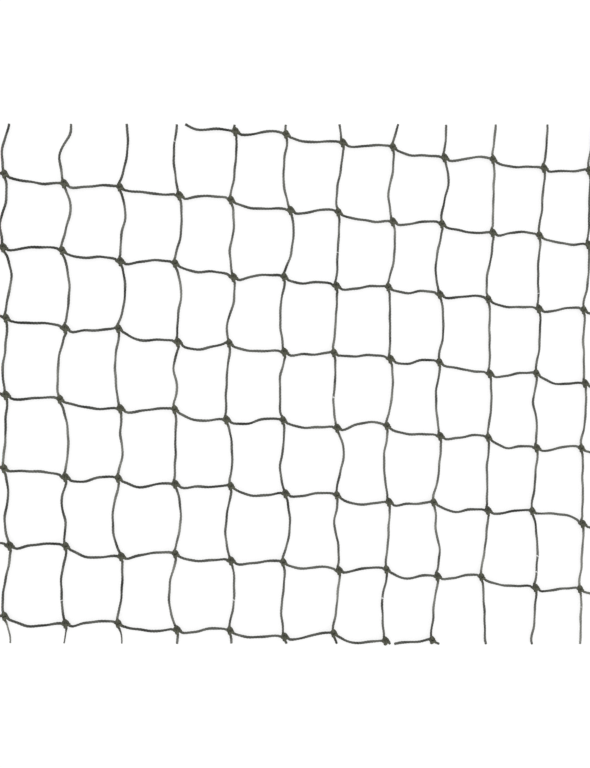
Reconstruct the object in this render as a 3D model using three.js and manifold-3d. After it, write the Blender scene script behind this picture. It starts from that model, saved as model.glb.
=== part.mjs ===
// A cut length of wire-reinforced protective net, laid flat on its knots.
//
// The net is one knotted fabric. Bars of twine run across it, legs run down it, and each place
// where a leg meets a bar is tied in a netting knot. The stiff twine keeps the bows and kinks that
// the knots gave it, so no two meshes are quite alike. Four straight cuts bound the length.
//
// Millimetres, +Z up, +X along the bars, +Y up the legs, underside of the knots at Z = 0.

import * as THREE from 'three';
import { mergeVertices } from 'three/addons/utils/BufferGeometryUtils.js';
import Module from 'manifold-3d';

// Twine and knot sizes.
const TWINE_THICKNESS = 1.2;
const KNOT_HEIGHT = 2.6;
const STRAND_RISE = 0.4; // a strand springs up this much between two knots

// The net is tied in two alternating knots, like the squares of a chessboard. One is drawn up
// wide and settles low, the other is narrow and settles high. A knot leans: its upper shoulder
// lies to the left of its middle and its lower shoulder to the right. A bar enters it above its
// middle and leaves it below. The leg from the knot above enters it left of its middle.
const KNOTS = [
  {
    name: 'wide', width: 3.3, shoulder: 1.2, lean: 0.7, settleX: 0.5, settleY: -0.9,
    barEnters: 0.5, barLeaves: -1.1, legEnters: -0.35,
  },
  {
    name: 'narrow', width: 2.5, shoulder: 1.4, lean: 0.6, settleX: -0.5, settleY: 0.9,
    barEnters: 0.6, barLeaves: -0.7, legEnters: -0.75,
  },
];

// The columns of knots, from left to right: where each stands, and how far it has risen or
// dropped against the middle, because the bars run slightly downhill.
const COLUMNS = [
  { place: -139.5, rise: 13.7 },
  { place: -113.5, rise: 10.9 },
  { place: -88.5, rise: 8.1 },
  { place: -62.5, rise: 5.7 },
  { place: -37.5, rise: 2.4 },
  { place: -11.5, rise: 0 },
  { place: 13.5, rise: -2.2 },
  { place: 39, rise: -4.3 },
  { place: 63.5, rise: -6.8 },
  { place: 89, rise: -9.7 },
  { place: 114, rise: -12.4 },
  { place: 138.5, rise: -15.7 },
];
const COLUMN_PITCH = 25.3;
const COLUMN_FALL = 2.6; // a bar drops this much from one column to the next

// The rows of knots, from the top: height at the middle column, sideways shift, and a chart with a
// letter for each column. slips: how a knot has slipped. bars: the bar to the next knot on the
// right. legs: the leg to the knot below. The first and last rows lie past the cuts, and have no bars.
const ROWS = [
  { height: 152.5, shift: 2.5, slips: '............', legs: '||||||(D]|)|' },
  { height: 119, shift: 2, slips: '.e.1s1.ss.nN', bars: '-hhvhsrshs--', legs: 'Z2D(]CJjP|||' },
  { height: 84.5, shift: 1, slips: 'S1s..e..ennN', bars: '_r-nsh_h_n_-', legs: 'ZBP)ZD|)CJ[]' },
  { height: 51.5, shift: 0, slips: 'w...3.w.n..n', bars: 'nwnwnwrwhshs', legs: 'BDDPZ(||)|][' },
  { height: 18, shift: 0, slips: 'e.ns.wwnes..', bars: 'h-vus-hw-ru-', legs: 'J((S[(J)(]q]' },
  { height: -16, shift: -0.5, slips: 'nw..W..nees.', bars: 'r_ruwsHshvhs', legs: '|DL|)jB(][||' },
  { height: -50, shift: -0.5, slips: '...79ne.w.wS', bars: 'nwv-uhu-vrH-', legs: 'ZqGDCDq|L|)|' },
  { height: -84.5, shift: -0.5, slips: '99.nNne..WSS', bars: 'nunsrwnvhsrs', legs: 'J(]G)J|([|||' },
  { height: -117.5, shift: -1, slips: '....e.nww...', bars: 'un_hsru-s---', legs: 'P[)||BP|||||' },
  { height: -151, shift: -1.5, slips: '............' },
];

// What the letters mean. Slips go by the compass, a capital letter is a long slip, and 7, 9, 1 and 3
// are the corners of a number pad.
const SLIPS = {
  '.': [0, 0],
  n: [0, 1],
  s: [0, -1],
  e: [1, 0],
  w: [-1, 0],
  N: [0, 2],
  S: [0, -2],
  W: [-2, 0],
  7: [-1, 1],
  9: [1, 1],
  1: [-1, -1],
  3: [1, -1],
};
// A bar's height against the straight line between its knots, at its two bends. r, h, n and H rise
// to a hump, w dips and rises, and _, s, v and u sag.
const BARS = {
  '-': [-0.7, -0.5],
  r: [-0.8, 0.4],
  h: [-0.4, 1.1],
  n: [0.5, 1.3],
  H: [1.3, 2.4],
  w: [-1.4, 0.7],
  _: [-1.5, -1.4],
  s: [-1.9, -0.6],
  v: [-2.9, -0.8],
  u: [-2.9, -1.7],
};
// A leg's bow to the right of the straight line between its knots, at its two bends. The letters
// look like the legs: D bows right, C bows left, J hooks to the left at its foot.
const LEGS = {
  '|': [0.1, 0],
  ']': [0.8, 0.6],
  ')': [1.6, 1.2],
  D: [2.3, 1.9],
  B: [3.1, 1.4],
  P: [2.2, 0.4],
  L: [0.2, 1.5],
  '[': [-0.7, -0.7],
  '(': [-1.9, -1.9],
  C: [-1.9, -2.7],
  G: [-2.8, -3.4],
  q: [-1.9, -0.2],
  S: [-1.6, 0.4],
  Z: [0.7, -1.5],
  2: [1.8, -2.6],
  J: [-0.3, -1.5],
  j: [-0.6, -2.4],
};

// The stations of a strand between two knots, as shares of the way: it comes out of one knot,
// takes its two bends, and goes into the next.
const LEAVES = 0.12;
const FIRST_BEND = 0.36;
const SECOND_BEND = 0.65;
const ENTERS = 0.9;
const LEG_LEAVES = 0.4; // right of the knot's middle
const END_BOW = 0.3; // a strand leaves and enters its knots on the side of its bends, by this share of them
const RIGHT = new THREE.Vector2(1, 0);
const UP = new THREE.Vector2(0, 1);

// The corners of the cut length, in order round it.
const CORNERS = [
  { corner: 'top left', x: -143, y: 119.5 },
  { corner: 'top right', x: 143, y: 129 },
  { corner: 'bottom right', x: 146, y: -129.3 },
  { corner: 'bottom left', x: -146, y: -115 },
];
const [TOP_LEFT, TOP_RIGHT, BOTTOM_RIGHT, BOTTOM_LEFT] = CORNERS;

const LAST_COLUMN = COLUMNS.length - 1;
const LAST_ROW = ROWS.length - 1;
const MIDDLE_HEIGHT = KNOT_HEIGHT / 2;
// The twine's section is a square with the area of the round twine.
const TWINE_SIDE = TWINE_THICKNESS * Math.sqrt(Math.PI) / 2;
const MERGE_DISTANCE = 1e-4;

const wasm = await Module();
wasm.setup();

function knotKind(row, column) {
  return KNOTS[(row + column + 1) % 2];
}

// Middle of a knot. Past the last column the net runs on at its plain pitch.
function knotPlace(row, column) {
  const nearest = THREE.MathUtils.clamp(column, 0, LAST_COLUMN);
  const { place, rise } = COLUMNS[nearest];
  const { height, shift, slips } = ROWS[row];
  const kind = knotKind(row, nearest);
  const [slipX, slipY] = SLIPS[slips[nearest]];
  return new THREE.Vector2(
    place + shift + slipX + kind.settleX + (column - nearest) * COLUMN_PITCH,
    height + rise + slipY + kind.settleY - (column - nearest) * COLUMN_FALL,
  );
}

// Height of the top or the bottom cut at a place across the net.
function cutHeight(left, right, x) {
  return THREE.MathUtils.mapLinear(x, left.x, right.x, left.y, right.y);
}

function isInsideCuts({ x, y }) {
  return y < cutHeight(TOP_LEFT, TOP_RIGHT, x) && y > cutHeight(BOTTOM_LEFT, BOTTOM_RIGHT, x);
}

// The stations of a strand from one knot to the next, moved off the straight line in one direction.
function strandStations(from, to, direction, leaves, [first, second], enters) {
  return [
    { share: LEAVES, move: leaves + END_BOW * first },
    { share: FIRST_BEND, move: first },
    { share: SECOND_BEND, move: second },
    { share: ENTERS, move: enters + END_BOW * second },
  ].map(({ share, move }) => {
    const { x, y } = from.clone().lerp(to, share).addScaledVector(direction, move);
    const z = MIDDLE_HEIGHT + STRAND_RISE * Math.sin(Math.PI * share);
    return { point: new THREE.Vector3(x, y, z), width: TWINE_SIDE, height: TWINE_SIDE };
  });
}

// The two shoulders of a knot, drawn up on its leg and flat underneath.
function knotStations(row, column) {
  const place = knotPlace(row, column);
  if (!isInsideCuts(place)) return [];
  const { width, shoulder, lean } = knotKind(row, column);
  return [1, -1].map((side) => ({
    point: new THREE.Vector3(place.x - side * lean, place.y + side * shoulder, MIDDLE_HEIGHT),
    width,
    height: KNOT_HEIGHT,
  }));
}

// The bar of one row, from past the left cut to past the right cut.
function barStations(row) {
  const stations = [];
  for (let column = -1; column <= LAST_COLUMN; column += 1) {
    const from = knotPlace(row, column);
    const to = knotPlace(row, column + 1);
    const bends = BARS[ROWS[row].bars[Math.max(column, 0)]];
    const { barLeaves } = knotKind(row, column);
    const { barEnters } = knotKind(row, column + 1);
    stations.push(...strandStations(from, to, UP, barLeaves, bends, barEnters));
  }
  return stations;
}

// The legs and knots of one column, from past the top cut to past the bottom cut.
function legStations(column) {
  const stations = [];
  for (let row = 0; row < LAST_ROW; row += 1) {
    const from = knotPlace(row, column);
    const to = knotPlace(row + 1, column);
    const bends = LEGS[ROWS[row].legs[column]];
    const { legEnters } = knotKind(row + 1, column);
    stations.push(
      ...strandStations(from, to, RIGHT, LEG_LEAVES, bends, legEnters),
      ...knotStations(row + 1, column),
    );
  }
  return stations;
}

// The route of a strand. A sweep takes one step for each station, its section stays level, and the
// section's sideways and upward directions are as long as the strand is wide and high there.
class StrandRoute extends THREE.CatmullRomCurve3 {
  constructor(stations) {
    super(stations.map(({ point }) => point));
    this.stations = stations;
  }

  getUtoTmapping(u) {
    return u;
  }

  computeFrenetFrames(steps) {
    const tangents = this.stations.map((station, step) => this.getTangent(step / steps));
    const normals = tangents.map((tangent, step) => {
      const sideways = new THREE.Vector3(-tangent.y, tangent.x, 0);
      return sideways.setLength(this.stations[step].width);
    });
    const binormals = this.stations.map(({ height }) => new THREE.Vector3(0, 0, height));
    return { tangents, normals, binormals };
  }
}

// A closed three.js geometry as a solid that can be joined and cut.
function solid(geometry) {
  const bare = geometry.clone();
  bare.deleteAttribute('normal');
  bare.deleteAttribute('uv');
  const merged = mergeVertices(bare, MERGE_DISTANCE);
  return new wasm.Manifold(new wasm.Mesh({
    numProp: 3,
    vertProperties: new Float32Array(merged.attributes.position.array),
    triVerts: new Uint32Array(merged.index.array),
  }));
}

// A square of twine, one unit a side, swept along its stations.
function strand(stations) {
  const corners = [[-0.5, -0.5], [0.5, -0.5], [0.5, 0.5], [-0.5, 0.5]];
  const section = new THREE.Shape(corners.map(([x, y]) => new THREE.Vector2(x, y)));
  return solid(new THREE.ExtrudeGeometry(section, {
    steps: stations.length - 1,
    bevelEnabled: false,
    extrudePath: new StrandRoute(stations),
  }));
}

// The block of space between the four straight cuts.
function cutBlock() {
  const outline = new THREE.Shape(CORNERS.map(({ x, y }) => new THREE.Vector2(x, y)));
  const block = new THREE.ExtrudeGeometry(outline, { depth: 2 * KNOT_HEIGHT, bevelEnabled: false });
  block.translate(0, 0, -MIDDLE_HEIGHT);
  return solid(block);
}

function tieNet() {
  const strands = [];
  for (let row = 1; row < LAST_ROW; row += 1) strands.push(strand(barStations(row)));
  for (let column = 0; column <= LAST_COLUMN; column += 1) strands.push(strand(legStations(column)));
  return wasm.Manifold.union(strands).intersect(cutBlock());
}

function geometryOf(manifold) {
  const mesh = manifold.getMesh();
  const geometry = new THREE.BufferGeometry();
  geometry.setAttribute('position', new THREE.BufferAttribute(mesh.vertProperties, mesh.numProp));
  geometry.setIndex(new THREE.BufferAttribute(mesh.triVerts, 1));
  geometry.computeVertexNormals();
  return geometry;
}

const oliveTwine = new THREE.MeshStandardMaterial({ color: 0x4c4d42, roughness: 0.75, metalness: 0 });
const net = new THREE.Mesh(geometryOf(tieNet()), oliveTwine);
net.name = 'net';

const part = new THREE.Group();
part.add(net);

export default part;
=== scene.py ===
# %% [markdown]
# # A cut length of wire-reinforced protective net
#
# The real thing is knotted netting: dull olive twine with a fine steel wire laid in, tied row by row
# into four-sided meshes. It lies flat and is seen almost straight from above. This lesson builds the
# twine itself, thread by thread and knot by knot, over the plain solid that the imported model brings.
#
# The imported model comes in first, because it sets the size and the place of everything else.

from collections import namedtuple

import bpy
import numpy as np
from mathutils import Matrix, Vector


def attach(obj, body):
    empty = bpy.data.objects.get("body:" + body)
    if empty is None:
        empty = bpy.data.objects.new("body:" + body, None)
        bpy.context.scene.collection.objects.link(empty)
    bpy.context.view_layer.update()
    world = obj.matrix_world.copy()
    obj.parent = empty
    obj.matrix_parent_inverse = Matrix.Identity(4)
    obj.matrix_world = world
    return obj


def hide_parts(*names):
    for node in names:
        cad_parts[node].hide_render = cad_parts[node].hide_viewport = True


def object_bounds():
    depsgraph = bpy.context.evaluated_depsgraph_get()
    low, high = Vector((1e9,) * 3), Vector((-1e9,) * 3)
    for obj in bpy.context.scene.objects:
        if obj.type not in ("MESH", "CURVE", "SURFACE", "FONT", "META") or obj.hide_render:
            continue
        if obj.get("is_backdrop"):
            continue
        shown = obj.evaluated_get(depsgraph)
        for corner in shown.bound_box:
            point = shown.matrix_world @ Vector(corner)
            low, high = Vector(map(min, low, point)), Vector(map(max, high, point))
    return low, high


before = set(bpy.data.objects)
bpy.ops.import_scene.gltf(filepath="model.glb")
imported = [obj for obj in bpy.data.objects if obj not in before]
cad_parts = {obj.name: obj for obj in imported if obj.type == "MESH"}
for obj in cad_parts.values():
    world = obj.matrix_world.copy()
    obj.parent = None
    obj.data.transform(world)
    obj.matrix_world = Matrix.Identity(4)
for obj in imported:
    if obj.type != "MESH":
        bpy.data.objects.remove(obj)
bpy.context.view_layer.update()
MM = 0.001

# %% [markdown]
# ## The camera
#
# The net was seen from about half a metre above its left part, with an ordinary lens. Blender's own
# "track to" helper keeps the world's Z axis upright in the picture, which has no meaning for a camera
# that looks down. So the three axes of the camera are worked out here: forward to the aim, right along
# the bars, and up along the legs.

# %% Camera above the net
EYE = Vector((-92.1, 21.55, 498.0)) * MM
AIM = Vector((-7.0, 2.25, 1.3)) * MM
UP_THE_NET = Vector((0, 1, 0))
LENS = 50
SENSOR = 36

camera_data = bpy.data.cameras.new("camera")
camera_data.lens = LENS
camera_data.sensor_width = SENSOR
camera = bpy.data.objects.new("camera", camera_data)
bpy.context.scene.collection.objects.link(camera)
bpy.context.scene.camera = camera

forward = (AIM - EYE).normalized()
right = forward.cross(UP_THE_NET).normalized()
up = right.cross(forward)
camera.matrix_world = Matrix.Translation(EYE) @ Matrix((right, up, -forward)).transposed().to_4x4()
print("camera is", round((AIM - EYE).length, 3), "m from the net")

# %% [markdown]
# ## The chart of the net
#
# No two meshes are alike, because the stiff twine keeps the bows and kinks that the knots gave it.
# A netmaker would put that on a chart: one row of letters for each row of knots. The same chart drives
# the solid, so the twine built here runs where the solid runs. Sizes are in millimetres.

# %% Chart of knots, bars and legs
# Each kind of knot: its upper shoulder against its middle, how it settles, where bars enter and leave
# it, and where the leg from above enters it.
KNOTS = [
    {
        "name": "wide",
        "shoulder": (-0.7, 1.2),
        "settle": (0.5, -0.9),
        "bar_enters": 0.5,
        "bar_leaves": -1.1,
        "leg_enters": -0.35,
    },
    {
        "name": "narrow",
        "shoulder": (-0.6, 1.4),
        "settle": (-0.5, 0.9),
        "bar_enters": 0.6,
        "bar_leaves": -0.7,
        "leg_enters": -0.75,
    },
]
# Each column of knots: where it stands, and how far it has risen against the middle.
COLUMNS = [
    (-139.5, 13.7),
    (-113.5, 10.9),
    (-88.5, 8.1),
    (-62.5, 5.7),
    (-37.5, 2.4),
    (-11.5, 0),
    (13.5, -2.2),
    (39, -4.3),
    (63.5, -6.8),
    (89, -9.7),
    (114, -12.4),
    (138.5, -15.7),
]
COLUMN_PITCH = 25.3
COLUMN_FALL = 2.6
# Each row of knots: height, sideways shift, and letters for its slips, its bars and its legs.
# The first and last rows lie past the cuts.
Row = namedtuple("Row", "height shift slips bars legs")
ROWS = [
    Row(152.5, 2.5, "............", "............", "||||||(D]|)|"),
    Row(119, 2, ".e.1s1.ss.nN", "-hhvhsrshs--", "Z2D(]CJjP|||"),
    Row(84.5, 1, "S1s..e..ennN", "_r-nsh_h_n_-", "ZBP)ZD|)CJ[]"),
    Row(51.5, 0, "w...3.w.n..n", "nwnwnwrwhshs", "BDDPZ(||)|]["),
    Row(18, 0, "e.ns.wwnes..", "h-vus-hw-ru-", "J((S[(J)(]q]"),
    Row(-16, -0.5, "nw..W..nees.", "r_ruwsHshvhs", "|DL|)jB(][||"),
    Row(-50, -0.5, "...79ne.w.wS", "nwv-uhu-vrH-", "ZqGDCDq|L|)|"),
    Row(-84.5, -0.5, "99.nNne..WSS", "nunsrwnvhsrs", "J(]G)J|([|||"),
    Row(-117.5, -1, "....e.nww...", "un_hsru-s---", "P[)||BP|||||"),
    Row(-151, -1.5, "............", "............", "............"),
]
# Slips go by the compass. A capital letter is a long slip, and 7, 9, 1 and 3 are corners of a number pad.
SLIPS = {
    ".": (0, 0),
    "n": (0, 1),
    "s": (0, -1),
    "e": (1, 0),
    "w": (-1, 0),
    "N": (0, 2),
    "S": (0, -2),
    "W": (-2, 0),
    "7": (-1, 1),
    "9": (1, 1),
    "1": (-1, -1),
    "3": (1, -1),
}
# A bar's height against the straight line, at its two bends.
BARS = {
    "-": (-0.7, -0.5),
    "r": (-0.8, 0.4),
    "h": (-0.4, 1.1),
    "n": (0.5, 1.3),
    "H": (1.3, 2.4),
    "w": (-1.4, 0.7),
    "_": (-1.5, -1.4),
    "s": (-1.9, -0.6),
    "v": (-2.9, -0.8),
    "u": (-2.9, -1.7),
}
# A leg's bow to the right of the straight line, at its two bends.
LEGS = {
    "|": (0.1, 0),
    "]": (0.8, 0.6),
    ")": (1.6, 1.2),
    "D": (2.3, 1.9),
    "B": (3.1, 1.4),
    "P": (2.2, 0.4),
    "L": (0.2, 1.5),
    "[": (-0.7, -0.7),
    "(": (-1.9, -1.9),
    "C": (-1.9, -2.7),
    "G": (-2.8, -3.4),
    "q": (-1.9, -0.2),
    "S": (-1.6, 0.4),
    "Z": (0.7, -1.5),
    "2": (1.8, -2.6),
    "J": (-0.3, -1.5),
    "j": (-0.6, -2.4),
}
LAST_COLUMN = len(COLUMNS) - 1
LAST_ROW = len(ROWS) - 1
print("chart:", len(COLUMNS), "columns and", LAST_ROW - 1, "rows of knots")

# %% [markdown]
# ## Where each knot sits
#
# A knot stands where its column crosses its row, moved by its slip and by the way its kind settles.
# The two kinds alternate like the squares of a chessboard, because the rows of a flat net are tied
# from one face and then from the other. Past the outer columns the net runs on at its plain pitch,
# which lets the bars reach the cuts.

# %% Places of the knots
TOP_LEFT, TOP_RIGHT = (-143, 119.5), (143, 129)
BOTTOM_LEFT, BOTTOM_RIGHT = (-146, -115), (146, -129.3)


def knot_kind(row, column):
    """The kind of knot tied there: the two alternate along rows and columns."""
    return KNOTS[(row + column + 1) % 2]


def knot_place(row, column):
    """The middle of a knot on the table, also past the outer columns."""
    nearest = min(max(column, 0), LAST_COLUMN)
    past = column - nearest
    place, rise = COLUMNS[nearest]
    chart = ROWS[row]
    x = place + chart.shift + past * COLUMN_PITCH
    y = chart.height + rise - past * COLUMN_FALL
    slip = np.array(SLIPS[chart.slips[nearest]])
    settle = np.array(knot_kind(row, nearest)["settle"])
    return np.array([x, y]) + slip + settle


def inside_cuts(x, y):
    """True for points between the four straight cuts that bound the length of net."""
    top = np.interp(x, (TOP_LEFT[0], TOP_RIGHT[0]), (TOP_LEFT[1], TOP_RIGHT[1]))
    bottom = np.interp(x, (BOTTOM_LEFT[0], BOTTOM_RIGHT[0]), (BOTTOM_LEFT[1], BOTTOM_RIGHT[1]))
    left_side = np.interp(y, (BOTTOM_LEFT[1], TOP_LEFT[1]), (BOTTOM_LEFT[0], TOP_LEFT[0]))
    right_side = np.interp(y, (BOTTOM_RIGHT[1], TOP_RIGHT[1]), (BOTTOM_RIGHT[0], TOP_RIGHT[0]))
    return (y < top) & (y > bottom) & (x > left_side) & (x < right_side)


whole_knots = {
    (row, column)
    for row in range(1, LAST_ROW)
    for column in range(LAST_COLUMN + 1)
    if inside_cuts(*knot_place(row, column))
}
print("knots inside the cuts:", len(whole_knots))

# %% [markdown]
# ## Bars and legs
#
# Between two knots the twine comes out of one, takes two bends and goes into the next. Four stations
# are enough for that, and a smooth line through them gives the bows. The knots hold the twine a little
# off the table, and it springs up slightly between them.

# %% Stations between knots
# Shares of the way at which a strand leaves its knot, takes its two bends and enters the next knot.
SHARES = np.array([0.12, 0.36, 0.65, 0.9])
LEG_LEAVES = 0.4  # right of the knot's middle
END_BOW = 0.3  # a strand leaves and enters its knots on the side of its bends, by this share of them
MIDDLE_HEIGHT = 1.3
STRAND_RISE = 0.4
RIGHT, UP = np.array([1, 0]), np.array([0, 1])


def strand(start, end, leaves, bends, enters, direction):
    """Stations from one knot to the next, moved off the straight line in one direction."""
    first, second = bends
    moves = np.array([leaves + END_BOW * first, first, second, enters + END_BOW * second])
    flat = start + SHARES[:, None] * (end - start) + moves[:, None] * direction
    return np.column_stack([flat, MIDDLE_HEIGHT + STRAND_RISE * np.sin(np.pi * SHARES)])


def bar(row, column):
    """The bar from a knot to the next one on its right."""
    bends = BARS[ROWS[row].bars[max(column, 0)]]
    leaves = knot_kind(row, column)["bar_leaves"]
    enters = knot_kind(row, column + 1)["bar_enters"]
    return strand(knot_place(row, column), knot_place(row, column + 1), leaves, bends, enters, UP)


def leg(row, column):
    """The leg from a knot down to the one below it."""
    bends = LEGS[ROWS[row].legs[column]]
    enters = knot_kind(row + 1, column)["leg_enters"]
    return strand(knot_place(row, column), knot_place(row + 1, column), LEG_LEAVES, bends, enters, RIGHT)


print("one bar's stations:", bar(4, 5).round(1).tolist())

# %% [markdown]
# ## The netting knot
#
# The knot is a sheet bend. One twine makes a bight: it comes up the leg below, turns round and goes out
# along the bar on the right. The other twine, the binder, comes in along the bar on the left, passes
# under itself, goes round behind both sides of the bight, comes back over its own end, dives through
# the bight and leaves up the leg above. Ready-made knots could be copied from one mesh, but then the
# twist of the twine would break at every knot. Here each knot is a short table of points on the twine's
# own way, so the twine runs through it without a seam. Along is measured down the lean of the knot,
# across is to the right of it, and off is away from the table. A second table says how far each kind is
# drawn up in these three directions. Knots tied from the other face have the same turns, turned over.

# %% Turns of the sheet bend
BIGHT = [
    {"turn": "left side, at the neck", "along": 0.8, "across": -0.55, "off": 0.0},
    {"turn": "left side, spread", "along": -0.3, "across": -0.75, "off": 0.05},
    {"turn": "round the end", "along": -1.2, "across": -0.3, "off": 0.1},
    {"turn": "round the end", "along": -1.25, "across": 0.35, "off": 0.1},
    {"turn": "right side, spread", "along": -0.35, "across": 0.75, "off": 0.05},
    {"turn": "right side, at the neck", "along": 0.7, "across": 0.66, "off": 0.0},
]
BINDER = [
    {"turn": "comes in from the left", "along": -0.95, "across": -1.1, "off": 0.3},
    {"turn": "over the left side", "along": -0.35, "across": -0.75, "off": 0.8},
    {"turn": "under itself", "along": 0.25, "across": 0.0, "off": 0.4},
    {"turn": "over the right side", "along": 0.45, "across": 0.6, "off": 0.75},
    {"turn": "round the right side", "along": 0.5, "across": 0.85, "off": -0.05},
    {"turn": "behind the right side", "along": 0.35, "across": 0.5, "off": -0.9},
    {"turn": "behind the left side", "along": 0.35, "across": -0.5, "off": -0.9},
    {"turn": "round the left side", "along": 0.5, "across": -0.87, "off": -0.05},
    {"turn": "up over the left side", "along": 0.55, "across": -0.65, "off": 0.8},
    {"turn": "over its own end", "along": 0.25, "across": -0.15, "off": 1.15},
    {"turn": "down through the bight", "along": -0.3, "across": 0.05, "off": 0.2},
    {"turn": "under the end of the bight", "along": -1.3, "across": 0.1, "off": -0.85},
]
# How each kind is drawn up: its size along, across and off, its face, and where its middle lies.
DRAWN_UP = {
    "wide": {"along": 1.54, "across": 1.4, "off": 0.68, "middle": (0.28, -0.15, 1.39)},
    "narrow": {"along": 1.47, "across": 1.2, "off": -0.68, "middle": (0.08, -0.12, 1.54)},
}


def knot_turns(table, row, column):
    """Points of the twine through one knot, or its plain middle where the knot lies past a cut."""
    place = knot_place(row, column)
    if (row, column) not in whole_knots:
        return np.array([[*place, MIDDLE_HEIGHT]])
    kind = knot_kind(row, column)
    size = DRAWN_UP[kind["name"]]
    along = -np.array(kind["shoulder"]) / np.hypot(*kind["shoulder"])
    across = np.array([-along[1], along[0]])
    turns = np.array([[turn["along"], turn["across"], turn["off"]] for turn in table])
    turns *= [size["along"], size["across"], size["off"]]
    flat = place + turns[:, :1] * along + turns[:, 1:2] * across
    return np.column_stack([flat, turns[:, 2]]) + size["middle"]


print("turns in a knot:", len(BIGHT), "of bight and", len(BINDER), "of binder")

# %% [markdown]
# ## One twine after another
#
# A netmaker works with one twine to a row, and the rows of this net run from lower left to upper
# right. So each twine climbs like a staircase: along a bar, through a knot as the binder, up a leg,
# round a bight, and along the next bar. Building these staircases instead of separate bars and legs gives
# every strand its true way through the knots.

# %% Ways of the twines
# Each kind of strand: how thick it is, how much it lies in a knot, and how far it has faded. Three legs
# below the lowest row are worn thin and have faded most.
BAR_TWINE = (1.31, 0, 0)
LEG_TWINE = (1.22, 0, 0.55)
KNOT_TWINE = (1.32, 1, 0)
PAST_CUT = (1.2, 0, 0)
WORN_TWINE = (0.82, 0, 1)
WORN_LEGS = {(8, 0), (8, 1), (8, 2)}


def twine_way(diagonal):
    """Stations of one twine from lower left to upper right: x, y, z, and the marks of its strands."""
    parts = []

    def lay(points, marks):
        parts.append(np.hstack([points, np.tile(marks, (len(points), 1))]))

    def tie(table, row, column):
        lay(knot_turns(table, row, column), KNOT_TWINE if (row, column) in whole_knots else PAST_CUT)

    for column in range(-1, LAST_COLUMN + 1):
        row = diagonal - column
        in_chart = column >= 0
        if in_chart and 0 <= row < LAST_ROW:
            lay(leg(row, column)[::-1], WORN_TWINE if (row, column) in WORN_LEGS else LEG_TWINE)
        if not 1 <= row < LAST_ROW:
            continue
        if in_chart:
            tie(BIGHT, row, column)
        lay(bar(row, column), BAR_TWINE)
        if column < LAST_COLUMN:
            tie(BINDER, row, column + 1)
    return np.vstack(parts)


ways = [twine_way(diagonal) for diagonal in range(LAST_ROW - 1 + LAST_COLUMN)]
print("twines:", len(ways), "with", sum(map(len, ways)), "stations")

# %% [markdown]
# ## A smooth line through the stations
#
# Blender's curve objects could round the corners, but their handles swing wide where a long strand
# meets a tight knot. A centripetal Catmull-Rom line doesn't: its speed follows the square root of the
# distance, so it stays close to the stations. It is then divided into short steps, shorter still in
# the knots, where the bends are tight. Handled twine is never quite even, so a few waves of different
# lengths move the strands a little to the side and make them a little thicker or thinner.

# %% Smooth lines, evenly divided
POINTS_A_STATION = 14
THICKNESS, KNOTTED, FADED, LENGTH = 3, 4, 5, 6  # columns beside x, y and z
STRAND_STEP = 0.36
KNOT_STEP = 0.24
WAVE_LENGTHS = np.array([8.3, 12.7, 19.1])
WAVE_SEED = 5
KINK = 0.2
SWELL = 0.12


def smooth(stations):
    """A dense centripetal line through the stations; the marks beside x, y and z blend linearly."""
    points = stations[:, :3]
    before, after = 2 * points[0] - points[1], 2 * points[-1] - points[-2]
    p0, p1, p2, p3 = (np.vstack([before, points, after])[i : len(points) - 1 + i] for i in range(4))
    gap0, gap1, gap2 = (
        np.sqrt(np.linalg.norm(b - a, axis=1))[:, None] for a, b in ((p0, p1), (p1, p2), (p2, p3))
    )
    start = gap1 * ((p1 - p0) / gap0 - (p2 - p0) / (gap0 + gap1) + (p2 - p1) / gap1)
    end = gap1 * ((p2 - p1) / gap1 - (p3 - p1) / (gap1 + gap2) + (p3 - p2) / gap2)
    share = (np.arange(POINTS_A_STATION) / POINTS_A_STATION)[None, :, None]
    square, cube = share**2, share**3
    line = (
        (2 * cube - 3 * square + 1) * p1[:, None]
        + (cube - 2 * square + share) * start[:, None]
        + (3 * square - 2 * cube) * p2[:, None]
        + (cube - square) * end[:, None]
    )
    marks = stations[:-1, None, 3:] * (1 - share) + stations[1:, None, 3:] * share
    return np.concatenate([line, marks], axis=2).reshape(-1, stations.shape[1])


def divide(line):
    """The line at even steps, which are shorter inside knots. A last column holds the length so far."""
    lengths = np.linalg.norm(np.diff(line[:, :3], axis=0), axis=1)
    step = np.where(line[1:, KNOTTED] > 0, KNOT_STEP, STRAND_STEP)
    paces = np.concatenate([[0], np.cumsum(lengths / step)])
    so_far = np.concatenate([[0], np.cumsum(lengths)])
    even = np.linspace(0, paces[-1], int(paces[-1]) + 1)
    return np.column_stack([np.interp(even, paces, column) for column in (*line.T, so_far)])


def unsettle(line, waves):
    """The line with the small sideways kinks and changes of thickness of handled twine, but not in knots."""
    free = 1 - line[:, KNOTTED]
    tangents = np.gradient(line[:, :2], axis=0)
    sideways = np.column_stack([-tangents[:, 1], tangents[:, 0]]) / np.hypot(*tangents.T)[:, None]
    starts = waves.random((2, 1, len(WAVE_LENGTHS)))
    kinks, swells = np.sin(2 * np.pi * (line[:, LENGTH, None] / WAVE_LENGTHS + starts)).mean(axis=2)
    moved = line.copy()
    moved[:, :2] += (KINK * free * kinks)[:, None] * sideways
    moved[:, THICKNESS] *= 1 + SWELL * free * swells
    return moved


waves = np.random.default_rng(WAVE_SEED)
lines = [unsettle(divide(smooth(way)), waves) for way in ways]
print("metres of twine before cutting:", round(sum(line[-1, LENGTH] for line in lines) * MM, 2))

# %% [markdown]
# ## Cutting the length
#
# The net was cut straight on four sides. A strand ends where it crosses a cut. A knot whose middle
# lies inside stays whole, since a sliced knot would fall apart. Stubs too short to hold are dropped.

# %% Straight cuts
SHORTEST_STUB = 1.2


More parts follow.
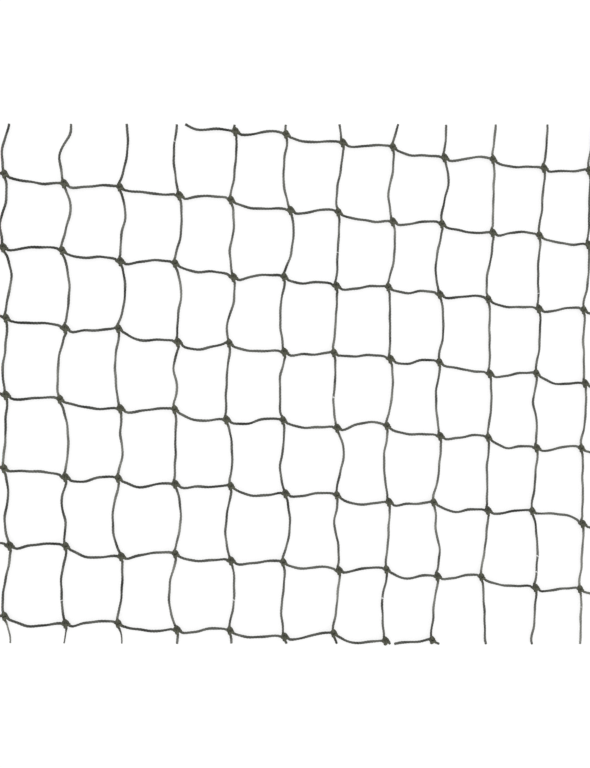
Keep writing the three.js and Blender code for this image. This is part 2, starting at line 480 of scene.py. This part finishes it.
def cut(line):
    """The stretches of a line that lie between the cuts or belong to a whole knot."""
    kept = inside_cuts(line[:, 0], line[:, 1]) | (line[:, KNOTTED] == 1)
    changes = np.flatnonzero(np.diff(kept.astype(int))) + 1
    pieces = [piece for piece, stays in zip(np.split(line, changes), np.split(kept, changes)) if stays[0]]
    return [piece for piece in pieces if np.ptp(piece[:, LENGTH]) > SHORTEST_STUB]


stretches = [cut(line) for line in lines]
total = sum(np.ptp(piece[:, LENGTH]) for group in stretches for piece in group)
print("stretches after cutting:", sum(map(len, stretches)), "with", round(total * MM, 2), "metres of twine")

# %% [markdown]
# ## Three plies, twisted
#
# The twine is laid up from three plies, which show as slanting ridges. A round tube with a bump in its
# material would be lighter, but its outline would be smooth. So the section itself has three lobes,
# worked out from three overlapping circles, and it turns as it goes along the twine. The frame that
# carries the section is passed on from step to step by two mirrorings, which keeps it from spinning by
# itself in the knots. Everything is worked out in arrays and joined into a few large meshes.

# %% Twisted section
PLIES = 3
POINTS_A_PLY = 6
LAY_LENGTH = 4.2
PLY_OFFSET = 0.14
PLY_RADIUS = 0.36
NEARLY_NOTHING = 1e-12  # stands in for zero where the line runs straight


def ply_section():
    """Angle and radius of points round the section of a twine one unit thick."""
    angles = np.arange(PLIES * POINTS_A_PLY) * 2 * np.pi / (PLIES * POINTS_A_PLY)
    ply_angle = 2 * np.pi / PLIES
    from_crest = (angles + ply_angle / 2) % ply_angle - ply_angle / 2
    radii = PLY_OFFSET * np.cos(from_crest) + np.sqrt(PLY_RADIUS**2 - (PLY_OFFSET * np.sin(from_crest)) ** 2)
    return angles, radii


def carried_frames(points):
    """Two directions square to the line at each point, carried along it without spin."""
    tangents = np.gradient(points, axis=0)
    tangents /= np.linalg.norm(tangents, axis=1)[:, None]
    side = np.cross(tangents[0], (0, 0, 1))
    sides = [side / np.linalg.norm(side)]
    for i in range(len(points) - 1):
        chord = points[i + 1] - points[i]
        mirrored = sides[-1] - 2 * chord @ sides[-1] / (chord @ chord) * chord
        turned = tangents[i] - 2 * chord @ tangents[i] / (chord @ chord) * chord
        across = tangents[i + 1] - turned
        sides.append(mirrored - 2 * across @ mirrored / max(across @ across, NEARLY_NOTHING) * across)
    sides = np.array(sides)
    return sides, np.cross(tangents, sides)


section_angles, section_radii = ply_section()
print("section:", len(section_angles), "points, groove", round(0.5 - section_radii.min(), 2), "deep")

# %% [markdown]
# Each stretch of twine becomes rings of points with faces between them, and a cap at each cut end. Some
# facts are kept with every point for the finish later: where it is in the yarn, so that fibres can
# follow the twist, and how far it lies up on the crest of a ply, inside a knot, or on a faded leg.

# %% Rings of twine
RIM = len(section_angles)
FACTS = ("crest", "knotted", "faded")


def ring_faces(rings, rim):
    """Four-sided faces between rings of points, and a cap at each end."""
    start = np.arange(rings - 1)[:, None] * rim
    here, following = np.arange(rim), (np.arange(rim) + 1) % rim
    quads = np.stack([start + here, start + following, start + rim + following, start + rim + here], axis=2)
    caps = [here[::-1], here + (rings - 1) * rim]
    return quads.reshape(-1, 4).tolist() + [cap.tolist() for cap in caps]


def joined_mesh(name, pieces):
    """One mesh object from several pieces, each with points and faces of its own."""
    faces, first = [], 0
    for piece in pieces:
        faces += [[first + i for i in face] for face in piece["faces"]]
        first += len(piece["points"])
    mesh = bpy.data.meshes.new(name)
    mesh.from_pydata(np.concatenate([piece["points"] for piece in pieces]).tolist(), [], faces)
    mesh.polygons.foreach_set("use_smooth", [len(face) == 4 for face in faces])
    made = bpy.data.objects.new(name, mesh)
    bpy.context.scene.collection.objects.link(made)
    print(name, "has", sum(len(face) - 2 for face in faces), "triangles")
    return made


def twine_rings(stretch):
    """Points, faces and finish facts of one stretch of twine."""
    points, length = stretch[:, :3], stretch[:, LENGTH]
    sides, ups = carried_frames(points)
    turn = section_angles[None, :] + 2 * np.pi * length[:, None] / LAY_LENGTH
    reach = section_radii[None, :] * stretch[:, THICKNESS, None]
    rings = (
        points[:, None]
        + (reach * np.cos(turn))[..., None] * sides[:, None]
        + (reach * np.sin(turn))[..., None] * ups[:, None]
    )
    in_yarn = np.broadcast_to(section_radii[None, :], reach.shape)
    along = np.broadcast_to(length[:, None], reach.shape)
    yarn = np.stack([in_yarn * np.cos(section_angles), in_yarn * np.sin(section_angles), along], axis=2)
    # Crest is 0 in the grooves and 1 on the crests; the finish paints shade into the grooves with it.
    crest = (in_yarn - section_radii.min()) / np.ptp(section_radii)
    return {
        "points": rings.reshape(-1, 3) * MM,
        "faces": ring_faces(len(points), RIM),
        "yarn": yarn.reshape(-1, 3),
        "crest": crest.reshape(-1),
        "knotted": np.repeat(stretch[:, KNOTTED], RIM),
        "faded": np.repeat(stretch[:, FADED], RIM),
    }


def join_twines(name, pieces):
    """One mesh object from several stretches of twine, with the facts for their finish."""
    made = joined_mesh(name, pieces)
    yarn = np.concatenate([piece["yarn"] for piece in pieces]).astype(np.float32)
    made.data.attributes.new("yarn", "FLOAT_VECTOR", "POINT").data.foreach_set("vector", yarn.ravel())
    for fact in FACTS:
        values = np.concatenate([piece[fact] for piece in pieces]).astype(np.float32)
        made.data.attributes.new(fact, "FLOAT", "POINT").data.foreach_set("value", values)
    return made


BUNDLES = {
    "twine_upper_left": range(0, 7),
    "twine_left": range(7, 9),
    "twine_middle": range(9, 11),
    "twine_right": range(11, 13),
    "twine_lower_right": range(13, len(ways)),
}
twines = [
    join_twines(name, [twine_rings(stretch) for twine in bundle for stretch in stretches[twine]])
    for name, bundle in BUNDLES.items()
]

# %% [markdown]
# ## The wire, where it shows
#
# A fine steel wire is laid in with the plies and mostly stays hidden. In a few places it has sprung out
# of the lay and takes a turn or two round a leg, where it catches the light. A wire along the whole
# twine would be easy to add, but it doesn't show on the real net, so only these turns are made.

# %% Turns of wire round the legs
# Each place: the row and the column of the knot above the leg, how far down the leg, and the turns.
WIRE_SHOWS = [
    {"row": 1, "column": 3, "down": 0.30, "turns": 1.0},
    {"row": 2, "column": 6, "down": 0.54, "turns": 1.0},
    {"row": 2, "column": 10, "down": 0.78, "turns": 1.0},
    {"row": 4, "column": 6, "down": 0.59, "turns": 2.0},
    {"row": 6, "column": 10, "down": 0.58, "turns": 2.0},
    {"row": 6, "column": 10, "down": 0.78, "turns": 2.0},
    {"row": 7, "column": 1, "down": 0.68, "turns": 1.0},
    {"row": 7, "column": 4, "down": 0.55, "turns": 2.0},
    {"row": 7, "column": 7, "down": 0.39, "turns": 2.0},
    {"row": 7, "column": 11, "down": 0.27, "turns": 1.0},
]
WIRE_RADIUS = 0.14
WIRE_PITCH = 0.3
WIRE_STEPS = 90
WIRE_RIM = 8
WIRE_SINKS = 0.1
SINKING_POWER = 4  # the higher, the nearer to its ends the wire sinks in


def wire_turns(row, column, down, turns):
    """A tube of wire that comes up out of the twine, goes round it and sinks back in."""
    spot = (1 - down) * knot_place(row, column) + down * knot_place(row + 1, column)
    line = lines[row + column]
    middle = np.hypot(*(line[:, :2] - spot).T).argmin()
    way = line[middle + 1, :3] - line[middle - 1, :3]
    way /= np.linalg.norm(way)
    side = np.cross(way, (0, 0, 1))
    side /= np.linalg.norm(side)
    over = np.cross(side, way)
    share = np.linspace(0, 1, WIRE_STEPS)
    turn = (share - 0.5) * 2 * np.pi * turns
    sunk = WIRE_SINKS * np.abs(2 * share - 1) ** SINKING_POWER
    reach = line[middle, THICKNESS] / 2 + WIRE_RADIUS / 2 - sunk
    centre = line[middle, :3] + ((share - 0.5) * turns * WIRE_PITCH)[:, None] * way
    wire = centre + (reach * np.sin(turn))[:, None] * side + (reach * np.cos(turn))[:, None] * over
    sides, ups = carried_frames(wire)
    rim = np.arange(WIRE_RIM) * 2 * np.pi / WIRE_RIM
    rings = wire[:, None] + WIRE_RADIUS * (
        np.cos(rim)[None, :, None] * sides[:, None] + np.sin(rim)[None, :, None] * ups[:, None]
    )
    return {"points": rings.reshape(-1, 3) * MM, "faces": ring_faces(WIRE_STEPS, WIRE_RIM)}


wire = joined_mesh("reinforcing_wire", [wire_turns(**place) for place in WIRE_SHOWS])
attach(wire, "root")

# %% [markdown]
# ## Writing shader maths as sums
#
# A material is a net of nodes, and wiring them one by one hides the idea. This small class wraps an
# output socket, so that sums and products of values read as Python and add their Math nodes.

# %% Sockets that can be added and multiplied
MIXED_COLOUR = 2  # the Mix node's output for colours


class Socket:
    """One output of a node in a material's tree."""

    def __init__(self, tree, output):
        self.tree = tree
        self.output = output

    def node(self, kind, settings=None, **inputs):
        """Adds any node: its settings, then its sockets, by name or by number as in _0, _1 and so on."""
        made = self.tree.nodes.new(kind)
        for name, value in (settings or {}).items():
            setattr(made, name, value)
        for name, value in inputs.items():
            target = made.inputs[int(name[1:]) if name.startswith("_") else name]
            if isinstance(value, Socket):
                self.tree.links.new(value.output, target)
            else:
                target.default_value = value
        return made

    def maths(self, operation, *values):
        """Adds a Math node that works on the values."""
        numbered = {f"_{i}": value for i, value in enumerate(values)}
        return self.out("ShaderNodeMath", 0, {"operation": operation}, **numbered)

    def __add__(self, other):
        return self.maths("ADD", self, other)

    def __mul__(self, other):
        return self.maths("MULTIPLY", self, other)

    def __sub__(self, other):
        return self.maths("SUBTRACT", self, other)

    def __rsub__(self, other):
        return self.maths("SUBTRACT", other, self)

    def out(self, kind, output, settings=None, **inputs):
        """Adds a node and wraps one of its outputs."""
        return Socket(self.tree, self.node(kind, settings, **inputs).outputs[output])

    def stretch(self, factors):
        """This vector, drawn out by a factor on each axis."""
        return self.out("ShaderNodeVectorMath", "Vector", {"operation": "MULTIPLY"}, _0=self, _1=factors)

    def reach(self, direction):
        """How far this vector reaches in a direction."""
        return self.out("ShaderNodeVectorMath", "Value", {"operation": "DOT_PRODUCT"}, _0=self, _1=direction)

    def mix(self, low, high):
        """A colour between two, by this value. Sockets 6 and 7 of the Mix node are its colours."""
        settings = {"data_type": "RGBA", "clamp_factor": True}
        return self.out("ShaderNodeMix", MIXED_COLOUR, settings, _0=self, _6=low, _7=high)

    def into(self, shader, name):
        """Links this value into one input of a shader."""
        self.tree.links.new(self.output, shader.inputs[name])


def new_material(name):
    """A material, its shader, and a bare socket that makes the first nodes."""
    material = bpy.data.materials.new(name)
    material.use_nodes = True
    return material, material.node_tree.nodes["Principled BSDF"], Socket(material.node_tree, None)


print("shader sums ready")

# %% [markdown]
# ## Olive twine
#
# The twine is dull olive. Its colour also carries painted shade: nearly black in the grooves and lighter
# where the plies stand up, and darker in the hollows between filaments. In the knots it is drawn tight
# and greener, and painted light from above makes them lighter on top. Each ply is a bundle of fine
# filaments. All of this could be painted, but a few patterns do it at the true scale from any distance.
# They read the place in the yarn: cells across its section become filaments along it, and noise becomes
# streaks, and both follow the twist. Two wider noises make whole stretches between the knots darker or
# lighter, and the strands get a little lighter towards one side.

# %% Patterns of the twine
FIBRE_STRETCH = (14.0, 14.0, 0.9)
FILAMENT_STRETCH = (1.0, 1.0, 0.02)
FILAMENTS_ACROSS = 7.0
HOLLOW_DEPTH = 1.6
PATCH_SCALE = 160.0
TONE_SCALE = 40.0
# How much lighter the twine gets in a metre along x, y and z: the strands towards one side, and the knots
# higher up, which is painted light from above.
LIGHTENS_ACROSS = (0.5, -0.3, 0.0)
PAINTED_LIGHT_UPWARD = (0.0, 0.0, 300.0)

twine_finish, shader, make = new_material("olive_twine")
place_in_yarn = make.out("ShaderNodeAttribute", "Vector", {"attribute_name": "yarn"})
crest, knotted, faded = (make.out("ShaderNodeAttribute", "Fac", {"attribute_name": fact}) for fact in FACTS)
stretched = place_in_yarn.stretch(FIBRE_STRETCH)
fibres = make.out("ShaderNodeTexNoise", 0, Vector=stretched, Scale=1.0, Detail=3.0, Roughness=0.6)
laid = place_in_yarn.stretch(FILAMENT_STRETCH)
# The colour is darker in the hollows between filaments: painted shade. The same hollows also give the
# relief.
hollows = make.out("ShaderNodeTexVoronoi", "Distance", Vector=laid, Scale=FILAMENTS_ACROSS)
filaments = 1 - hollows * HOLLOW_DEPTH
where = make.out("ShaderNodeTexCoord", "Object")
patches = make.out("ShaderNodeTexNoise", 0, Vector=where, Scale=PATCH_SCALE, Detail=2.0)
tones = make.out("ShaderNodeTexNoise", 0, Vector=where, Scale=TONE_SCALE, Detail=1.0)
# The strands get a little lighter towards one side of the net.
side_lightening = where.reach(LIGHTENS_ACROSS)
# Painted light from above: the higher the knots stand off the table, the lighter they get.
painted_top_light = where.reach(PAINTED_LIGHT_UPWARD)
print("patterns of the twine:", len(make.tree.nodes), "nodes")

# %% [markdown]
# The patterns add up to a lightness, which picks a tone between a dark and a light one. Bars, faded
# legs and knots have such a pair each. The fibres make the surface rougher here and there, and they
# stand up with the filaments as a fine relief.

# %% Colour and relief of the twine
BAR_DARK = (0.014, 0.015, 0.012, 1)
BAR_LIGHT = (0.148, 0.152, 0.133, 1)
FADED_DARK = (0.032, 0.033, 0.028, 1)
FADED_LIGHT = (0.334, 0.335, 0.302, 1)
KNOT_DARK = (0.028, 0.029, 0.022, 1)
KNOT_LIGHT = (0.122, 0.127, 0.084, 1)
# How much each pattern lightens the yarn, the strands between the knots, and the knots.
# The crest and filament shares are painted shade, darker in the grooves between plies and in the hollows
# between filaments.
CREST_PAINTED_SHADE, FILAMENT_PAINTED_SHADE, YARN_BY_FIBRE = 0.2, 0.3, 0.25
STRAND_BY_PATCH, STRAND_BY_TONE, STRAND_DARKENED = 1.4, 1.3, 1.23
KNOT_BY_PATCH, KNOT_DARKENED = 0.4, 0.75
SMOOTHEST, ROUGHER_BY_FIBRE = 0.5, 0.25
RELIEF_BY_FIBRE, RELIEF_STRENGTH, RELIEF_DEPTH = 0.3, 0.8, 0.1
TWINE_SHEEN, TWINE_SHEEN_ROUGHNESS, TWINE_SPECULAR = 0.08, 0.5, 0.35

# The yarn's lightness holds painted shade in grooves and hollows, together with the random fibre streaks.
yarn_tone_and_painted_shade = crest * CREST_PAINTED_SHADE + filaments * FILAMENT_PAINTED_SHADE + fibres * YARN_BY_FIBRE
varied = patches * STRAND_BY_PATCH + tones * STRAND_BY_TONE + side_lightening
strand_light = yarn_tone_and_painted_shade + varied - STRAND_DARKENED
strand_colour = faded.mix(strand_light.mix(BAR_DARK, BAR_LIGHT), strand_light.mix(FADED_DARK, FADED_LIGHT))
# The knots are made lighter the higher they stand: painted light from above.
knot_light = yarn_tone_and_painted_shade + patches * KNOT_BY_PATCH + painted_top_light - KNOT_DARKENED
colour = knotted.mix(strand_colour, knot_light.mix(KNOT_DARK, KNOT_LIGHT))
colour.into(shader, "Base Color")
(fibres * ROUGHER_BY_FIBRE + SMOOTHEST).into(shader, "Roughness")
relief = filaments + fibres * RELIEF_BY_FIBRE
bump = make.out("ShaderNodeBump", 0, Strength=RELIEF_STRENGTH, Distance=RELIEF_DEPTH * MM, Height=relief)
bump.into(shader, "Normal")
shader.inputs["Sheen Weight"].default_value = TWINE_SHEEN
shader.inputs["Sheen Roughness"].default_value = TWINE_SHEEN_ROUGHNESS
shader.inputs["Specular IOR Level"].default_value = TWINE_SPECULAR

for twine in twines:
    twine.data.materials.append(twine_finish)
    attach(twine, "root")
    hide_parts("net")
print("twine finish has", len(make.tree.nodes), "nodes")

# %% [markdown]
# ## Bright wire
#
# The wire is bare steel, a little dulled by drawing. A mirror finish would sparkle in single points, so a
# noise along the wire varies its roughness.

# %% Finish of the wire
WIRE_DULL = (0.75, 0.75, 0.74, 1)
WIRE_BRIGHT = (0.92, 0.92, 0.92, 1)
DRAWN_SCALE = 4000.0
WIRE_SMOOTHEST, WIRE_ROUGHER = 0.2, 0.2

wire_finish, shader, make = new_material("steel_wire")
where = make.out("ShaderNodeTexCoord", "Object")
drawn = make.out("ShaderNodeTexNoise", 0, Vector=where, Scale=DRAWN_SCALE, Detail=2.0)
(drawn * WIRE_ROUGHER + WIRE_SMOOTHEST).into(shader, "Roughness")
drawn.mix(WIRE_DULL, WIRE_BRIGHT).into(shader, "Base Color")
shader.inputs["Metallic"].default_value = 1.0
wire.data.materials.append(wire_finish)
print("wire finish has", len(make.tree.nodes), "nodes")

# %% [markdown]
# ## Table and light
#
# The net lies on a plain white table that glows, as a photographer's light table does, so that hardly
# a shadow is left beside the strands. A lamp would draw hard shadows there. Light comes evenly from
# all round, and one large soft panel above gives the twine a little shape.

# %% White table and soft light
TABLE_SIZE = 12.0
TABLE_COLOUR = (0.3, 0.3, 0.3, 1)
TABLE_GLOW = 0.7
TABLE_ROUGHNESS = 0.9
TABLE_SPECULAR = 0.1
WHITE = (1, 1, 1, 1)
SKY_STRENGTH = 1.0
PANEL_SIZE = 1.6
PANEL_PLACE = (-0.5, 0.6, 1.8)
PANEL_WATTS = 8.0

half = TABLE_SIZE / 2
table_mesh = bpy.data.meshes.new("table")
corners = [(-half, -half, 0), (half, -half, 0), (half, half, 0), (-half, half, 0)]
table_mesh.from_pydata(corners, [], [(0, 1, 2, 3)])
table = bpy.data.objects.new("table", table_mesh)
bpy.context.scene.collection.objects.link(table)
table_finish, shader, _ = new_material("white_table")
shader.inputs["Base Color"].default_value = TABLE_COLOUR
shader.inputs["Emission Color"].default_value = WHITE
shader.inputs["Emission Strength"].default_value = TABLE_GLOW
shader.inputs["Roughness"].default_value = TABLE_ROUGHNESS
shader.inputs["Specular IOR Level"].default_value = TABLE_SPECULAR
table_mesh.materials.append(table_finish)
table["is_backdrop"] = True

world = bpy.data.worlds.new("studio")
world.use_nodes = True
sky = world.node_tree.nodes["Background"]
sky.inputs["Color"].default_value = WHITE
sky.inputs["Strength"].default_value = SKY_STRENGTH
bpy.context.scene.world = world

panel_data = bpy.data.lights.new("panel", "AREA")
panel_data.size = PANEL_SIZE
panel_data.energy = PANEL_WATTS
panel = bpy.data.objects.new("panel", panel_data)
bpy.context.scene.collection.objects.link(panel)
panel.location = PANEL_PLACE
panel.rotation_euler = (-Vector(PANEL_PLACE)).to_track_quat("-Z", "Y").to_euler()
bpy.context.scene.view_settings.view_transform = "Standard"
print("table", TABLE_SIZE, "m wide, panel", PANEL_SIZE, "m wide")

# %% [markdown]
# ## Sizes
# The twine must not outgrow the solid that it stands for. The box of what is seen is printed. Both boxes are
# written down for comparison,
# and the last line checks the pieces and hands the scene over.

# %% Size of what is seen
seen_low, seen_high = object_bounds()
seen_size = [round(s / MM, 2) for s in seen_high - seen_low]
print("seen size in mm:", seen_size, "lowest", round(seen_low.z / MM, 3))
